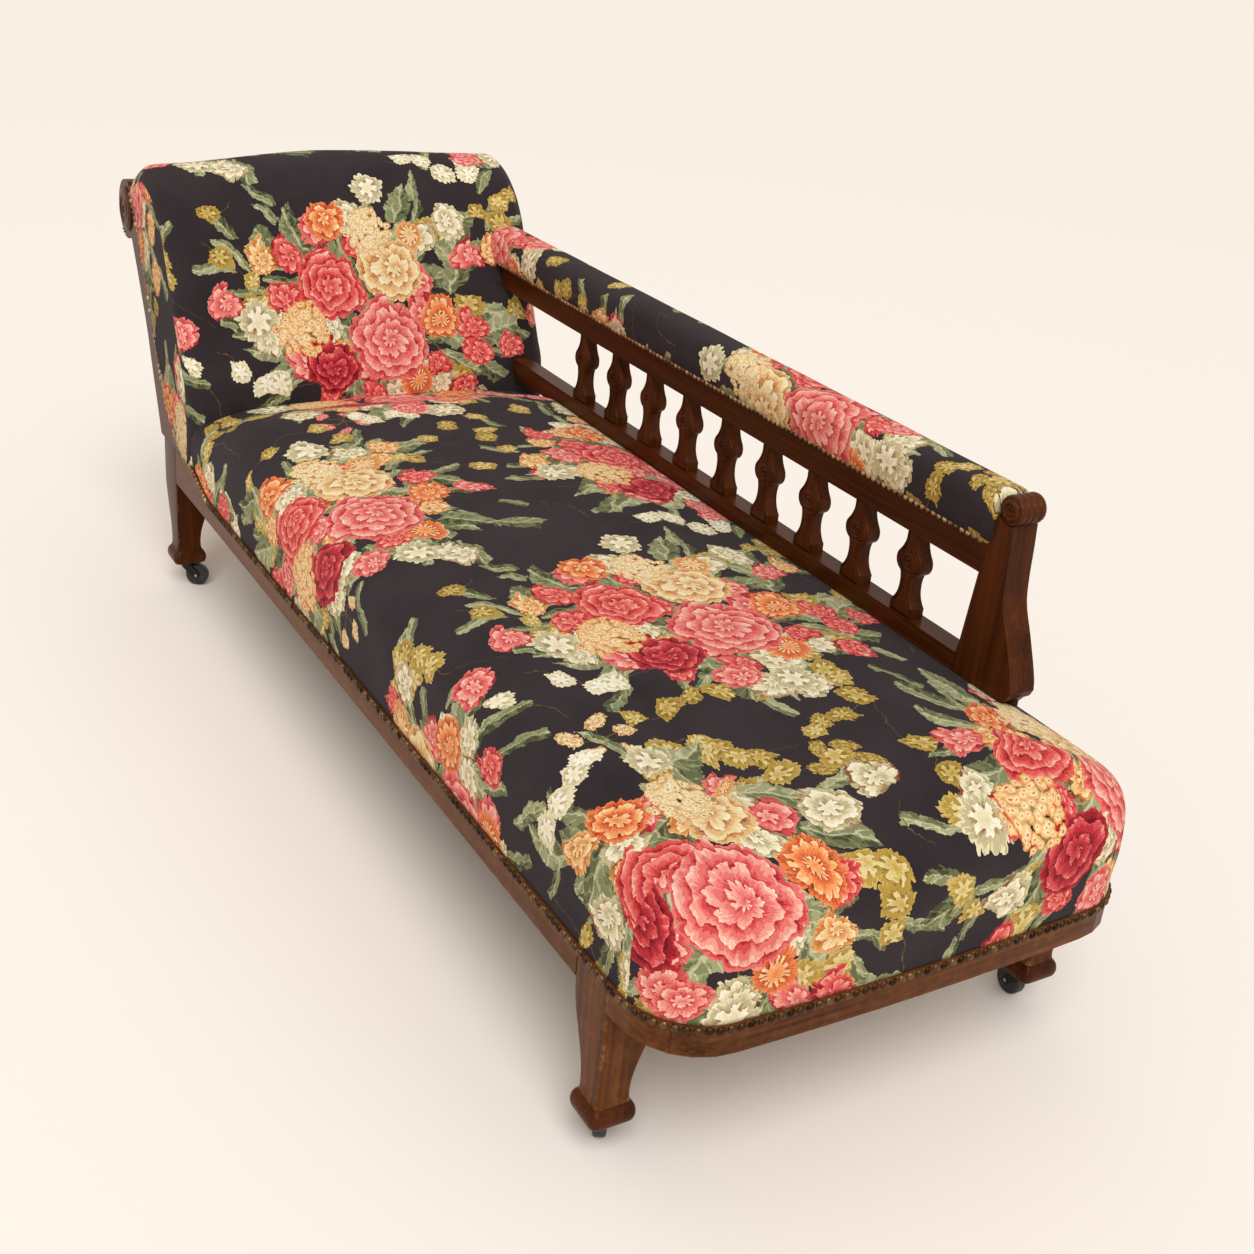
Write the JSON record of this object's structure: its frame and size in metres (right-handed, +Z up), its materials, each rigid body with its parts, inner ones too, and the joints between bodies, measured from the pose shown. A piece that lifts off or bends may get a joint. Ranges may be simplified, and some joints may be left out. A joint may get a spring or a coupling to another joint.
{
  "type": "fainting couch",
  "caption": "Long stuffed day couch with a scrolled raised head, a spindle gallery with a padded arm along one side, a rounded foot end, tapered square legs and castors.",
  "frame": {"origin": "on the floor, under the middle of the couch's bounding box", "axes": "+Z up, +X from the head end to the foot end, -Y the open front side, +Y the side with the spindle gallery"},
  "size_m": [1.934, 0.66, 0.7283],
  "materials": {
    "walnut": "waxed walnut, worn lighter on the edges",
    "beech": "plain unfinished hardwood, hidden inside",
    "print_cloth": "dark cotton cloth with a traditional flower print",
    "black_cloth": "thin black dust cloth",
    "jute": "woven jute webbing and hessian",
    "spring_steel": "coppered spring wire",
    "black_iron": "black japanned iron",
    "bright_steel": "bare turned steel",
    "black_wheel": "hard black rubber, polished by wear"
  },
  "bodies": {
    "frame": {"leg_foot_front": "walnut", "leg_foot_back": "walnut", "leg_head_front": "walnut", "leg_head_back": "walnut", "front_seat_rail": "walnut", "back_seat_rail": "walnut", "foot_rail_corner_front": "walnut", "foot_rail_corner_back": "walnut", "foot_rail_middle": "walnut", "head_seat_rail": "walnut", "head_stile_front": "walnut", "head_stile_back": "walnut", "gallery_lower_rail": "walnut", "gallery_top_rail": "walnut", "baluster_1": "walnut", "baluster_2": "walnut", "baluster_3": "walnut", "baluster_4": "walnut", "baluster_5": "walnut", "baluster_6": "walnut", "baluster_7": "walnut", "baluster_8": "walnut", "baluster_9": "walnut", "gallery_end_post": "walnut", "post_knob": "walnut", "foot_cross_rail": "beech", "foot_deck": "beech", "head_scroll_bar": "beech", "head_middle_bar": "beech", "gallery_upright": "beech", "head_back_cover": "print_cloth", "head_pad": "print_cloth", "arm_pad": "print_cloth", "seat_pad": "print_cloth", "dust_cover": "black_cloth", "seat_webbing": "jute", "seat_hessian": "jute", "seat_spring_front_1": "spring_steel", "seat_spring_back_1": "spring_steel", "seat_spring_front_2": "spring_steel", "seat_spring_back_2": "spring_steel", "seat_spring_front_3": "spring_steel", "seat_spring_back_3": "spring_steel", "castor_plate_foot_front": "black_iron", "castor_plate_foot_back": "black_iron", "castor_plate_head_front": "black_iron", "castor_plate_head_back": "black_iron"},
    "swivel_foot_front": {"castor_horn_foot_front": "black_iron", "castor_axle_foot_front": "bright_steel"},
    "wheel_foot_front": {"castor_wheel_foot_front": "black_wheel"},
    "swivel_foot_back": {"castor_horn_foot_back": "black_iron", "castor_axle_foot_back": "bright_steel"},
    "wheel_foot_back": {"castor_wheel_foot_back": "black_wheel"},
    "swivel_head_front": {"castor_horn_head_front": "black_iron", "castor_axle_head_front": "bright_steel"},
    "wheel_head_front": {"castor_wheel_head_front": "black_wheel"},
    "swivel_head_back": {"castor_horn_head_back": "black_iron", "castor_axle_head_back": "bright_steel"},
    "wheel_head_back": {"castor_wheel_head_back": "black_wheel"}
  },
  "joints": [
    {"name": "castor_swivel_foot_front", "type": "hinge", "parent": "frame", "child": "swivel_foot_front", "pos_m": [0.839, -0.304, 0.046], "axis": [0, 0, 1], "continuous": true},
    {"name": "castor_roll_foot_front", "type": "hinge", "parent": "swivel_foot_front", "child": "wheel_foot_front", "pos_m": [0.82341, -0.295, 0.0195], "axis": [-0.5, -0.866, 0], "continuous": true},
    {"name": "castor_swivel_foot_back", "type": "hinge", "parent": "frame", "child": "swivel_foot_back", "pos_m": [0.839, 0.304, 0.046], "axis": [0, 0, 1], "continuous": true},
    {"name": "castor_roll_foot_back", "type": "hinge", "parent": "swivel_foot_back", "child": "wheel_foot_back", "pos_m": [0.821, 0.304, 0.0195], "axis": [0, -1, 0], "continuous": true},
    {"name": "castor_swivel_head_front", "type": "hinge", "parent": "frame", "child": "swivel_head_front", "pos_m": [-0.681, -0.304, 0.046], "axis": [0, 0, 1], "continuous": true},
    {"name": "castor_roll_head_front", "type": "hinge", "parent": "swivel_head_front", "child": "wheel_head_front", "pos_m": [-0.6712, -0.2889, 0.0195], "axis": [-0.8387, 0.5446, 0], "continuous": true},
    {"name": "castor_swivel_head_back", "type": "hinge", "parent": "frame", "child": "swivel_head_back", "pos_m": [-0.681, 0.304, 0.046], "axis": [0, 0, 1], "continuous": true},
    {"name": "castor_roll_head_back", "type": "hinge", "parent": "swivel_head_back", "child": "wheel_head_back", "pos_m": [-0.69791, 0.29784, 0.0195], "axis": [0.342, -0.9397, 0], "continuous": true}
  ]
}
